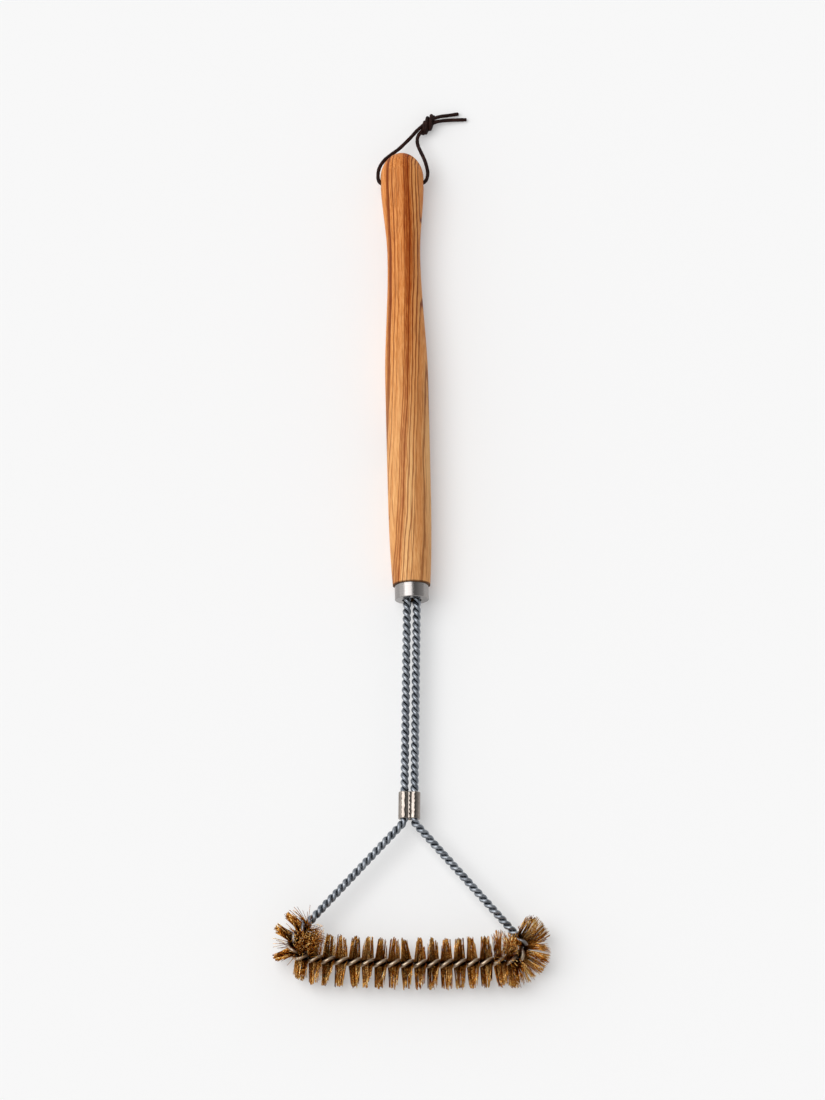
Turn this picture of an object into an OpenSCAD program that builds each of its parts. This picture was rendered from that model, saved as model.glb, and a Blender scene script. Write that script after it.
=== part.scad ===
// Grill cleaning brush, lying on its bristles and its handle.
// One twisted pair of steel wires is bent into a triangle, clamped by a double sleeve
// and bonded into a turned wooden handle. Brass bristles are pinched between the wires
// along the bottom of the triangle, and a leather lace hangs the brush up.
// X runs along the bristle bar, Y from the bristles to the handle's tail, Z up.

/* [Handle] */
// Length of the wood that shows, from the ferrule to the tail
handle_len = 270; // [240:1:320]
// Diameter of the bulge at the tail
tail_d = 26; // [24:0.1:26]
// Length of the domed tail end
dome_len = 16; // [10:0.5:18]
// Distance of the neck from the tail end
neck_at = 65; // [55:1:90]
// Diameter of the neck
neck_d = 19.8; // [18:0.1:24]
// Distance of the belly from the tail end
belly_at = 145; // [130:1:190]
// Diameter of the belly
belly_d = 26; // [26:0.1:28.6]
// Diameter of the wood where it meets the ferrule
shoulder_d = 22.5; // [20.8:0.1:24]
// Distance of the lace's bore from the tail end
lace_bore_at = 19; // [19:0.5:24]
// Lean of the handle from the line of the stems, in degrees, as it was set by hand
handle_lean = 2; // [0:0.5:4]

/* [Ferrule] */
// Outer diameter of the ferrule
ferrule_d = 20.4; // [17:0.1:20.6]
// Length of the ferrule
ferrule_len = 9; // [7:0.5:14]
// Wall of the ferrule
ferrule_wall = 0.8; // [0.5:0.1:1.2]
// Depth of the socket in the wood, behind the ferrule's mouth
socket_depth = 52; // [40:1:70]
// Depth of the stems in the socket, behind the ferrule's mouth
stem_depth = 38; // [25:1:48]

/* [Wire frame] */
// Diameter of one wire
wire_d = 2.5; // [2:0.1:2.6]
// Length of one full twist where the two wires lie together
twist_pitch = 8.8; // [8.2:0.1:12]
// Gap between the two stems at the ferrule
stem_gap_ferrule = 0.8; // [0.4:0.1:1.2]
// Gap between the two stems in the sleeve
stem_gap_sleeve = 0.9; // [0.4:0.1:2.4]
// Length of the stems between the ferrule and the sleeve
stem_len = 119; // [80:1:160]
// Height of the triangle, from the sleeve to the bar's axis
frame_h = 89; // [70:1:110]
// Width of the triangle, between the wire axes at the corners
frame_w = 139; // [110:1:170]
// Radius of the bend below the sleeve
apex_r = 4.5; // [4:0.5:14]
// Radius of the bend at each corner
corner_r = 7.5; // [6:0.5:12]
// Radius of the bar's slight outward bow
bow_r = 720; // [400:10:2000]

/* [Sleeve] */
// Length of the sleeve
sleeve_len = 16.5; // [12:0.5:25]
// Wall of the sleeve
sleeve_wall = 1; // [0.5:0.1:1.2]
// Thickness of the sleeve's pressed waist
sleeve_waist = 5.8; // [1.6:0.1:7]

/* [Bristles] */
// Reach of the bristles from the bar's axis
bristle_r = 15; // [14:0.1:18]
// Length of the bristles past the left corner, up the arm
bristle_arm = 11; // [8:0.2:16]
// Tufts left of the bar's middle one
tufts_left = 11; // [10:1:12]
// Tufts right of the bar's middle one
tufts_right = 10; // [9:1:12]
// Number of filaments in one half twist
filaments = 10; // [6:1:11]
// Thickness of a strand at its root
strand_root = 0.5; // [0.3:0.05:0.5]
// Thickness of a strand at its tip
strand_tip = 0.36; // [0.2:0.02:0.4]
// Thickness of the filaments where the wires pinch them
pinch_t = 0.5; // [0.4:0.05:1]

/* [Lace] */
// Diameter of the leather lace
lace_d = 2.2; // [1.6:0.1:2.2]

/* [Hidden] */
// Clearance of a pressed fit, of the twisted wires from each other, of the pinched filaments
// on each side, and of the lace in its bore
press_gap = 0.06;
twist_gap = 0.06;
pinch_gap = 0.12;
lace_gap = 0.3;
// Overshoot of every cut past the face that it opens
cut = 1;

// Places along Y, with the middle of the whole brush at 0
brush_len = bristle_r + frame_h + sleeve_len + stem_len + ferrule_len + handle_len;
y_bar = -brush_len / 2 + bristle_r;
y_sleeve = y_bar + frame_h;
y_stem = y_sleeve + sleeve_len;
y_mouth = y_stem + stem_len;
y_shoulder = y_mouth + ferrule_len;
y_tail = y_shoulder + handle_len;
y_lace_bore = y_tail - lace_bore_at;
// The belly lies on the surface, and the bristles end flat on it, a little short of their reach
belly_gap = 0.1;
axis_h = belly_d / 2 + belly_gap;

// Wire route: half of it, from the middle of the bar round a corner and up into the handle.
// Each piece is [length, signed bend radius or 0 for straight, heading at its start].
stem_r = wire_d + twist_gap / 2;
stem_x_ferrule = stem_r + stem_gap_ferrule / 2;
stem_x_sleeve = stem_r + stem_gap_sleeve / 2;
bow_turn = asin((frame_w / 2 - corner_r) / (bow_r - corner_r));
corner_centre = [frame_w / 2 - corner_r, y_bar + bow_r - (bow_r - corner_r) * cos(bow_turn)];
apex_centre = [stem_x_sleeve + apex_r, y_sleeve];
centres = apex_centre - corner_centre;
arm_heading = atan2(centres.y, centres.x) + asin((apex_r + corner_r) / norm(centres));
arm_len = sqrt(centres * centres - pow(apex_r + corner_r, 2));
stem_lean = asin((stem_x_sleeve - stem_x_ferrule) / stem_len);
function arc_len(radius, turn) = radius * turn * PI / 180;
route = [
    [arc_len(bow_r, bow_turn), bow_r, 0],
    [arc_len(corner_r, arm_heading - bow_turn), corner_r, bow_turn],
    [arm_len, 0, arm_heading],
    [arc_len(apex_r, arm_heading - 90), -apex_r, arm_heading],
    [sleeve_len, 0, 90],
    [stem_len / cos(stem_lean), 0, 90 + stem_lean],
    [stem_depth, 0, 90]];

function along(place, piece, u) =
    let (h = piece[2], r = piece[1], a = r == 0 ? h : h + u / r * 180 / PI)
    place + (r == 0 ? u * [cos(h), sin(h)] : r * [sin(a) - sin(h), cos(h) - cos(a)]);
starts = [for (i = 0, place = [0, y_bar], s = 0; i < len(route);
    place = along(place, route[i], route[i][0]), s = s + route[i][0], i = i + 1) [place, s]];
half_len = starts[len(route) - 1][1] + route[len(route) - 1][0];

function piece_at(u) = max([for (i = [0 : len(route) - 1]) if (starts[i][1] <= u || i == 0) i]);
function half_at(u) =
    let (i = piece_at(u), v = u - starts[i][1], r = route[i][1], place = along(starts[i][0], route[i], v))
    [place.x, place.y, route[i][2] + (r == 0 ? 0 : v / r * 180 / PI)];
// [x, y, heading] at a signed length from the middle of the bar
function route_at(s) =
    let (a = half_at(abs(s)))
    s < 0 ? [-a[0], a[1], -a[2]] : a;

// Twist: the pair turns left-handed, loosely along the bristles and tightly elsewhere.
// Whole half twists carry bristles, and each of them is one tuft. The tufts share the length
// that they fill, so their twist goes with the size of the frame.
corner_start = starts[1][1];
corner_end = starts[2][1];
half_twist = (corner_end + bristle_arm) / (tufts_left + 0.5);
bristle_pitch = 2 * half_twist;
// Turns from the middle of the bar to the end of the bristles, and to the end of the wire
function bristle_turns(side) = ((side < 0 ? tufts_left : tufts_right) + 0.5) / 2;
function wire_turns(side) =
    bristle_turns(side) + (half_len - bristle_turns(side) * bristle_pitch) / twist_pitch;

function tuft_number(k) = k + tufts_left + 1;
function tuft_name(k) = str("bristle_tuft_", tuft_number(k) < 10 ? "0" : "", tuft_number(k));

// Colours
wood_colour = "peru";
steel_colour = "silver";
wire_colour = "slategray";
brass_colour = "darkgoldenrod";
leather_colour = "#2b1b14";
resin_colour = "#3b3229";

// Vectors
function unit(v) = v / norm(v);
function flatten(lists) = [for (l = lists, x = l) x];

// Local z runs along the brush, from the given place towards the tail
module along_brush(y) translate([0, y, axis_h]) rotate([-90, 0, 0]) children();
// The handle, its ferrule and its lace lean together about the middle of the ferrule's mouth
module leaning() translate([0, y_mouth, 0]) rotate([0, 0, handle_lean])
    translate([0, -y_mouth, 0]) children();

// One swept tube: rings of equally many points, joined by triangles and closed at both ends
function ring(centre, tangent, hint, radius, sides) =
    let (t = unit(tangent), e1 = unit(hint - (hint * t) * t), e2 = cross(t, e1))
    [for (i = [0 : sides - 1])
        let (a = 360 * (i + 0.5) / sides)
        centre + radius * (cos(a) * e1 + sin(a) * e2)];

function tube_faces(rings, sides) = concat(
    [[for (i = [0 : sides - 1]) i]],
    flatten([for (k = [0 : rings - 2], i = [0 : sides - 1])
        let (j = (i + 1) % sides, a = k * sides, b = a + sides)
        [[a + i, b + i, a + j], [a + j, b + i, b + j]]]),
    [[for (i = [sides - 1 : -1 : 0]) (rings - 1) * sides + i]]);

module tube(rings) {
    sides = len(rings[0]);
    polyhedron(flatten(rings), tube_faces(len(rings), sides));
}

// Handle: a turned profile with a domed tail, a neck and a belly
tail_flat = 0.5;
tail_at = dome_len + tail_flat;
dome_power = 2;
shoulder_power = 5.5;
dome_steps = 12;
turned_steps = 14;
function ease(t) = (1 - cos(180 * t)) / 2;
function handle_r(d) =
    d < dome_len ? tail_d / 2 * pow(1 - pow(1 - d / dome_len, dome_power), 1 / dome_power)
    : d < tail_at ? tail_d / 2
    : d < neck_at ? tail_d / 2 + (neck_d - tail_d) / 2 * ease((d - tail_at) / (neck_at - tail_at))
    : d < belly_at ? neck_d / 2 + (belly_d - neck_d) / 2 * ease((d - neck_at) / (belly_at - neck_at))
    : belly_d / 2 - (belly_d - shoulder_d) / 2
        * pow((d - belly_at) / (handle_len - belly_at), shoulder_power);
function spread(from, to, steps) = [for (i = [0 : steps - 1]) from + (to - from) * i / steps];
dome_places = [for (i = [0 : dome_steps - 1]) dome_len * pow(i / dome_steps, 2)];
turned_places = concat(
    dome_places, [dome_len], spread(tail_at, neck_at, turned_steps),
    spread(neck_at, belly_at, turned_steps), spread(belly_at, handle_len, turned_steps), [handle_len]);

tenon_r = ferrule_d / 2 - ferrule_wall - press_gap;
tenon_len = ferrule_len - ferrule_wall - press_gap;
mouth_wall = 0.4;
mouth_r = stem_x_ferrule + stem_r + mouth_wall;
socket_r = mouth_r + stem_depth * tan(handle_lean);
lace_bore_r = lace_d / 2 + lace_gap;
lace_mouth = 1.4;

module handle() color(wood_colour) leaning() difference() {
    along_brush(y_shoulder) rotate_extrude($fn = 96) polygon(concat(
        [[0, -tenon_len], [tenon_r, -tenon_len], [tenon_r, 0]],
        [for (i = [len(turned_places) - 1 : -1 : 0])
            [handle_r(turned_places[i]), handle_len - turned_places[i]]]));
    along_brush(y_mouth) cylinder(h = socket_depth, r = socket_r, $fn = 48);
    translate([0, y_lace_bore, axis_h]) rotate([0, 90, 0]) {
        cylinder(h = tail_d + 2 * cut, r = lace_bore_r, center = true, $fn = 32);
        for (side = [0, 1]) mirror([0, 0, side]) translate([0, 0, tail_d / 2 - lace_mouth])
            cylinder(h = 2 * lace_mouth, r1 = lace_bore_r, r2 = lace_bore_r + 2 * lace_mouth, $fn = 32);
    }
}

// Ferrule: a drawn cup with a rounded rim and a mouth for both stems
ferrule_round = 0.6;
round_steps = 5;
module ferrule() color(steel_colour) leaning() along_brush(y_mouth) rotate_extrude($fn = 96) polygon(concat(
    [[mouth_r, 0]],
    [for (i = [0 : round_steps]) let (a = 90 * i / round_steps)
        [ferrule_d / 2 - ferrule_round * (1 - sin(a)), ferrule_round * (1 - cos(a))]],
    [[ferrule_d / 2, ferrule_len - press_gap], [ferrule_d / 2 - ferrule_wall, ferrule_len - press_gap],
     [ferrule_d / 2 - ferrule_wall, ferrule_wall], [mouth_r, ferrule_wall]]));

// Resin plug: the cured bond that holds both stems in the socket
resin_recess = 2;
resin_at = ferrule_wall + resin_recess;
module resin_plug() color(resin_colour) difference() {
    leaning() along_brush(y_mouth + resin_at)
        cylinder(h = socket_depth - resin_at - press_gap, r = socket_r - press_gap, $fn = 48);
    for (side = [-1, 1]) translate([side * stem_x_ferrule, 0, 0]) along_brush(y_mouth)
        cylinder(h = stem_depth + stem_r, r = stem_r + press_gap, $fn = 48);
}

// Twisted pair: wire a lies on top in the middle of the bar
front_phase = 90;
function length_at(turns) =
    let (edge = bristle_turns(turns))
    abs(turns) <= edge ? turns * bristle_pitch
    : sign(turns) * (edge * bristle_pitch + (abs(turns) - edge) * twist_pitch);
// The wires part along the bristles, to take in the filaments
spread_turns = 0.75;
function helix_r(turns) =
    let (t = min(1, max(0, (bristle_turns(turns) + spread_turns - abs(turns)) / spread_turns)))
    (wire_d + twist_gap + (pinch_t + 2 * pinch_gap - twist_gap) * ease(t)) / 2;
// Frame at a number of turns: [place, outward direction of wire a, direction of the bristles, heading]
function twist_frame(turns) =
    let (
        at = route_at(length_at(turns)),
        normal = [-sin(at[2]), cos(at[2]), 0],
        phase = front_phase - 360 * turns)
    [[at[0], at[1], axis_h],
     cos(phase) * normal + sin(phase) * [0, 0, 1],
     -sin(phase) * normal + cos(phase) * [0, 0, 1],
     [cos(at[2]), sin(at[2]), 0]];

// Wires: two strands on opposite sides of the route
wire_sides = 6;
rings_per_turn = 7;
function wire_steps(side) = floor(wire_turns(side) * rings_per_turn);
function wire_place(turns, side) =
    let (f = twist_frame(turns))
    f[0] + side * helix_r(turns) * f[1];
function wire_rings(side) = [for (i = [-wire_steps(-1) : wire_steps(1)])
    let (n = i / rings_per_turn, step = 0.02)
    ring(wire_place(n, side), wire_place(n + step, side) - wire_place(n - step, side),
         side * twist_frame(n)[1], wire_d / 2, wire_sides)];
module wire(side) color(wire_colour) tube(wire_rings(side));

// Sleeve: two barrels pressed round the stems, with a flattened waist between them
barrel_r = stem_r + press_gap + sleeve_wall;
module sleeve() color(steel_colour) along_brush(y_sleeve) linear_extrude(sleeve_len) difference() {
    union() {
        for (side = [-1, 1]) translate([side * stem_x_sleeve, 0]) circle(barrel_r, $fn = 64);
        square([2 * stem_x_sleeve, sleeve_waist], center = true);
    }
    for (side = [-1, 1]) translate([side * stem_x_sleeve, 0]) circle(stem_r + press_gap, $fn = 64);
}

// Bristles: a comb of strands on both edges of the pinched ribbon, one comb for each half twist.
// Inside a corner a strand stops short of the line where it would meet the other leg's strands.
pinch_reach = 1.1;
corner_share = 0.86;
length_step = 0.45;
lean_step = 2;
edge_offset = 3;
corner_half = (180 - arm_heading + bow_turn) / 2;
function inner_room(s) = corner_r + tan(corner_half) * max(0, corner_start - abs(s), abs(s) - corner_end);
// Strand lengths and leans step through short cycles, so that the tips look cut and not turned
function trim(i) = length_step * [0, 2, 1, 3][i % 4];
function lean(i) = lean_step * [0, 1, -1, 1, 0, -1][i % 6];
function strand_reach(inward, s, i) =
    min(bristle_r - trim(i), corner_share * inner_room(s) / max(inward, 0.01));

function filament_turns(k, j) = k / 2 + ((j + 0.5) / filaments - 0.5) / 2;
// The ribbon's four corners, and the four corners of a strand's tip on one of its edges
function on_surface(p) = [p.x, p.y, max(p.z, 0)];
function ribbon_ring(turns) =
    let (f = twist_frame(turns))
    [for (c = [[1, 1], [1, -1], [-1, -1], [-1, 1]])
        f[0] + c[0] * pinch_reach * f[2] + c[1] * pinch_t / 2 * f[1]];
function tip_ring(turns, edge, i) =
    let (
        f = twist_frame(turns),
        normal = [-f[3].y, f[3].x, 0],
        direction = edge * f[2],
        reach = strand_reach(direction * normal, length_at(turns), i),
        tip = f[0] + reach * (direction + tan(lean(i)) * f[3]),
        half = strand_tip / 2)
    [for (c = [[-1, 1], [-1, -1], [1, -1], [1, 1]]) on_surface(tip + half * (c[0] * f[3] + c[1] * f[1]))];
function comb_points(k) =
    let (half_width = strand_root / 2 / bristle_pitch)
    flatten([for (j = [0 : filaments - 1])
        let (n = filament_turns(k, j), i = tuft_number(k) * filaments + j)
        concat(
            ribbon_ring(n - half_width), ribbon_ring(n + half_width),
            tip_ring(n, 1, i), tip_ring(n, -1, i + edge_offset))]);
// Four points a-b-c-d round a face, as two triangles
function quad(a, b, c, d) = [[a, b, c], [a, c, d]];
comb_stride = 16;
function strand_faces(root, tip) = flatten(concat(
    [for (i = [0 : 3]) let (j = (i + 1) % 4) quad(root[i], root[j], tip[j], tip[i])],
    [quad(tip[0], tip[1], tip[2], tip[3])]));
function comb_faces() = flatten([for (j = [0 : filaments - 1])
    let (a = j * comb_stride, b = a + 4, up = a + 8, down = a + 12, next = a + comb_stride)
    concat(
        strand_faces([a, a + 1, b + 1, b], [up, up + 1, up + 2, up + 3]),
        strand_faces([b + 3, b + 2, a + 2, a + 3], [down + 3, down + 2, down + 1, down]),
        quad(a + 1, a + 2, b + 2, b + 1), quad(a + 3, a, b, b + 3),
        j == 0 ? quad(a + 3, a + 2, a + 1, a) : [],
        j == filaments - 1 ? quad(b, b + 1, b + 2, b + 3)
        : flatten([for (i = [0 : 3]) let (m = (i + 1) % 4) quad(b + i, b + m, next + m, next + i)]))]);
module bristle_tuft(k) color(brass_colour) polyhedron(comb_points(k), comb_faces());

// Lace: one piece of leather through the bore, with both ends knotted together beyond the tail.
// Its points are measured from the middle of the bore.
lace_points = [
    [35.2, 46.5, -11.7], [32, 45.9, -11.2], [28.2, 45.2, -10.5], [23.5, 44.4, -9.7], [19.1, 42.7, -9.2],
    [16.2, 40.7, -9], [13.3, 38.7, -8.7], [10, 35.6, -7.9], [6.8, 31.8, -6.9], [3, 27.6, -5.7],
    [-1.3, 23.3, -4.6], [-5.6, 19.8, -3.5], [-9.2, 16.8, -2.6], [-11.5, 14.1, -1.9], [-13.1, 11.4, -1.3],
    [-14, 8.8, -0.9], [-14.4, 6.2, -0.6], [-14.4, 4, -0.3], [-14, 2.1, -0.1], [-13.1, 0.7, 0], [-11.6, 0, 0],
    [-6, 0, 0], [0, 0, 0], [6, 0, 0],
    [11.6, 0, 0], [13.4, 0.7, 0], [14.7, 2.2, -0.1], [15.4, 4.4, -0.4], [15.6, 6.8, -0.7], [15.3, 9.6, -1],
    [14.5, 13.2, -1.6], [13.2, 17.2, -2.4], [11.6, 21, -3.2], [10.3, 24.6, -4.2], [9.8, 28, -5.3],
    [10.2, 31, -6.5], [11.8, 34, -7.8], [14.7, 36.7, -8.7], [17.6, 38.7, -9], [20.5, 40.7, -9.2],
    [25, 41.8, -9.8], [29.5, 42.3, -10.5], [34.6, 42.6, -11.2], [40, 42.8, -11.7]];
lace_sides = 8;
function lace_tube(points, hints) =
    let (last = len(points) - 1)
    [for (i = [0 : last])
        ring(points[i], points[min(i + 1, last)] - points[max(i - 1, 0)], hints[i], lace_d / 2, lace_sides)];
module from_lace_bore() leaning() translate([0, y_lace_bore, axis_h]) children();
module lace() color(leather_colour) from_lace_bore()
    tube(lace_tube(lace_points, [for (p = lace_points) [0, 0, 1]]));

// Knot: the doubled lace wound round its own two legs
knot_centre = [16.9, 39.7, -9];
knot_heading = 35;
knot_wraps = 1.75;
wrap_steps = 12;
leg_gap = 0.3;
wrap_gap = 0.5;
wrap_half_w = 3 / 2 * lace_d + 2 * leg_gap;
wrap_half_h = lace_d + 2 * leg_gap;
wrap_rise = lace_d + wrap_gap;
knot_axis = [cos(knot_heading), sin(knot_heading), 0];
knot_across = [-sin(knot_heading), cos(knot_heading), 0];
function wrap_place(turns) =
    knot_centre + (turns - knot_wraps / 2) * wrap_rise * knot_axis
    + wrap_half_w * cos(360 * turns) * knot_across + wrap_half_h * sin(360 * turns) * [0, 0, 1];
wrap_turns = [for (i = [0 : knot_wraps * wrap_steps]) i / wrap_steps];
least_wrap_gap = min([for (n = wrap_turns, m = wrap_turns)
    if (m - n > 1 / 2) norm(wrap_place(m) - wrap_place(n)) - lace_d]);
echo(least_wrap_gap = least_wrap_gap);
module lace_knot() color(leather_colour) from_lace_bore()
    tube(lace_tube([for (n = wrap_turns) wrap_place(n)],
                   [for (n = wrap_turns) cos(360 * n) * knot_across + sin(360 * n) * [0, 0, 1]]));

handle();
ferrule();
resin_plug();
wire(1);  // wire_a
wire(-1);  // wire_b
sleeve();
for (k = [-tufts_left : tufts_right])
    bristle_tuft(k);
lace();
lace_knot();
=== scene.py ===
# %% [markdown]
# # Grill cleaning brush
# A brush for a barbecue grate lies on its bristles and its handle. Two steel wires are twisted together,
# bent into a triangle and bonded into a turned wooden handle. Brass filaments are caught between the wires
# along the bottom of the triangle, and a leather lace hangs the brush up.
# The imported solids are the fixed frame. Handle, ferrule and bond keep their solids and get a finish here.
# Wires, filaments, sleeve and lace are drawn again, finer than a solid needs them.

# %% Load the frame
import math

import bpy
import numpy as np
from mathutils import Matrix, Vector


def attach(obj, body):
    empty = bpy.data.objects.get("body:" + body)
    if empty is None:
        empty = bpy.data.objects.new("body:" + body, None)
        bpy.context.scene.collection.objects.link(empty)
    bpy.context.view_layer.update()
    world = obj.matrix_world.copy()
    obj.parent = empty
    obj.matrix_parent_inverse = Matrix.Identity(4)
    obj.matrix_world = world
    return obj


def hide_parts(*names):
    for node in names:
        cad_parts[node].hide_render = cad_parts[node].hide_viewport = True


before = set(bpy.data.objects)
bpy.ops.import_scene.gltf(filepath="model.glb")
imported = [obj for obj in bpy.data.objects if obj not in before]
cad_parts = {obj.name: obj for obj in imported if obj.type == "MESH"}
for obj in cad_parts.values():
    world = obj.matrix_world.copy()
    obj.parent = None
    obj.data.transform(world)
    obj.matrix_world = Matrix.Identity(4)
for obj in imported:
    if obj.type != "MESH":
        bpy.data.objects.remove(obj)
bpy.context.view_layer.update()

# %% [markdown]
# ## Sizes
# The scene can't read the part's source, so the sizes that the new pieces share with it are written again,
# in millimetres, with the same names. X runs along the bristle bar, Y towards the handle's tail, Z up.
# The handle leans by two degrees about the middle of the ferrule's mouth, so its points are turned about it.

# %% Sizes that the solids share
MM = 0.001
bristle_r = 15
frame_h = 89
sleeve_len = 16.5
stem_len = 119
ferrule_len = 9
handle_len = 270
lace_bore_at = 19
belly_d = 26
belly_gap = 0.1
handle_lean = math.radians(2)

brush_len = bristle_r + frame_h + sleeve_len + stem_len + ferrule_len + handle_len
y_bar = bristle_r - brush_len / 2
y_sleeve = y_bar + frame_h
y_mouth = y_sleeve + sleeve_len + stem_len
y_lace_bore = y_mouth + ferrule_len + handle_len - lace_bore_at
axis_h = belly_d / 2 + belly_gap
mouth = np.array([0, y_mouth, axis_h])


def leaning(points):
    """Turns points of the upright handle by its lean about the middle of the ferrule's mouth."""
    c, s = math.cos(handle_lean), math.sin(handle_lean)
    lean = np.array([[c, s, 0], [-s, c, 0], [0, 0, 1]])
    return (np.asarray(points, float) - mouth) @ lean + mouth


print("lace bore, leaning:", np.round(leaning([0, y_lace_bore, axis_h]), 2), "mm")

# %% [markdown]
# ## Camera
# The photograph looks down on the brush, tilted 15 degrees from straight above, with the bristles nearest.
# A camera close by would draw the bristles larger than the tail. A long lens from far away keeps the scale
# the same from end to end: 0.6 mm for each pixel of a frame of 825 by 1100. The camera is aimed so that the
# middle of the ferrule's mouth falls on its own pixel.

# %% Camera
photo_px = (825, 1100)
mm_per_px = 0.6
mouth_px = (411.9, 600.2)
elevation = math.radians(75)
roll = math.radians(0.72)
distance = 12.0

back = Vector((0, -math.cos(elevation), math.sin(elevation)))
upright = Vector((0, math.sin(elevation), math.cos(elevation)))
level = Vector((1, 0, 0))
right = level * math.cos(roll) + upright * math.sin(roll)
above = upright * math.cos(roll) - level * math.sin(roll)
px = mm_per_px * MM
aim = Vector(mouth * MM) - right * (mouth_px[0] - photo_px[0] / 2) * px
aim = aim + above * (mouth_px[1] - photo_px[1] / 2) * px

camera = bpy.data.objects.new("camera", bpy.data.cameras.new("camera"))
bpy.context.scene.collection.objects.link(camera)
facing = Matrix((right, above, back)).transposed().to_4x4()
camera.matrix_world = Matrix.Translation(aim + back * distance) @ facing
camera.data.lens = camera.data.sensor_width * distance / (photo_px[1] * px)
camera.data.clip_end = 3 * distance
bpy.context.scene.camera = camera
print(f"camera: {camera.data.lens:.0f} mm lens at {distance:g} m")

# %% [markdown]
# ## Tubes
# Lace, wires and filaments are all round and long, so one way of making a surface serves them: a path, and
# a circle carried along it. A curve object with a bevel could do the same, but arrays give every ring its
# own radius and let thousands of filaments be made at once.

# %% Paths and rings


def unit(v):
    """Vectors along the last axis, at length 1."""
    return v / np.linalg.norm(v, axis=-1, keepdims=True)


def lengths_along(points):
    """Length from the first point to each point: the sum of the gaps between neighbours so far."""
    return np.concatenate([[0], np.cumsum(np.linalg.norm(np.diff(points, axis=0), axis=1))])


def smooth_path(points, step):
    """A curve through the points. From p to q it is the cubic
    (2t^3 - 3t^2 + 1) p + (t^3 - 2t^2 + t) m + (3t^2 - 2t^3) q + (t^3 - t^2) n, with t from 0 to 1, and with m
    and n the slopes at p and q, times the gap between them."""
    points = np.asarray(points, float)
    length = lengths_along(points)
    slope = np.gradient(points, length, axis=0)
    s = np.linspace(0, length[-1], int(length[-1] / step) + 2)
    i = np.clip(np.searchsorted(length, s, "right") - 1, 0, len(points) - 2)
    gap = (length[i + 1] - length[i])[:, None]
    t = (s - length[i])[:, None] / gap
    return ((2 * t**3 - 3 * t**2 + 1) * points[i] + (t**3 - 2 * t**2 + t) * gap * slope[i]
            + (3 * t**2 - 2 * t**3) * points[i + 1] + (t**3 - t**2) * gap * slope[i + 1])


def rings_along(path, radius, around, hint):
    """Circles round a path: centre + radius (cos a * e1 + sin a * e2), where e1 is the hint made square to
    the path and e2 is square to both. Works on one path or on many at once."""
    tangent = unit(np.gradient(path, axis=-2))
    hint = np.broadcast_to(hint, path.shape)
    e1 = unit(hint - (hint * tangent).sum(-1, keepdims=True) * tangent)
    e2 = np.cross(tangent, e1)
    a = 2 * math.pi * (np.arange(around) + 0.5) / around
    circle = np.cos(a)[:, None] * e1[..., None, :] + np.sin(a)[:, None] * e2[..., None, :]
    return path[..., None, :] + np.broadcast_to(radius, path.shape[:-1])[..., None, None] * circle


print("path helpers ready")

# %% Pieces from rings


def tube_piece(name, rings):
    """Rings in millimetres as one piece: rings[t, i, j] is point j of ring i of tube t. Each point joins the
    next one of its ring and of the next ring, and one face closes each end."""
    tubes, along, around = rings.shape[:3]
    index = np.arange(tubes * along * around).reshape(tubes, along, around)
    near, far = index[:, :-1], index[:, 1:]
    quads = np.stack([near, np.roll(near, -1, 2), np.roll(far, -1, 2), far], -1).reshape(-1, 4)
    caps = np.concatenate([index[:, 0, ::-1], index[:, -1]])
    corners = np.concatenate([quads.ravel(), caps.ravel()])
    sizes = np.concatenate([np.full(len(quads), 4), np.full(len(caps), around)])
    starts = np.concatenate([[0], np.cumsum(sizes)[:-1]])
    mesh = bpy.data.meshes.new(name)
    mesh.vertices.add(index.size)
    mesh.vertices.foreach_set("co", (rings * MM).astype(np.float32).ravel())
    mesh.loops.add(len(corners))
    mesh.loops.foreach_set("vertex_index", corners.astype(np.int32))
    mesh.polygons.add(len(sizes))
    mesh.polygons.foreach_set("loop_start", starts.astype(np.int32))
    mesh.update(calc_edges=True)
    mesh.polygons.foreach_set("use_smooth", np.arange(len(sizes)) < len(quads))
    piece = bpy.data.objects.new(name, mesh)
    bpy.context.scene.collection.objects.link(piece)
    return piece


def give_attribute(piece, name, values):
    """Stores one number for each point of the piece's mesh, for its material to read."""
    attribute = piece.data.attributes.new(name, "FLOAT", "POINT")
    attribute.data.foreach_set("value", np.ravel(values).astype(np.float32))


print("piece helpers ready")

# %% [markdown]
# ## Lace
# A round leather lace runs through a cross bore in the tail and is knotted beyond it. It is limp, shown from
# end to end, and lies down to the surface at its two cut ends. A simulation would drop it anywhere, and here
# the fall is known, so its points repeat the part's own route, measured from the middle of the bore. It is
# one lace, but what leaves the handle is two free legs, so each is a cord of its own that starts in the
# middle of the bore. Its thickness wavers a little, as cut leather does.

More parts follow.
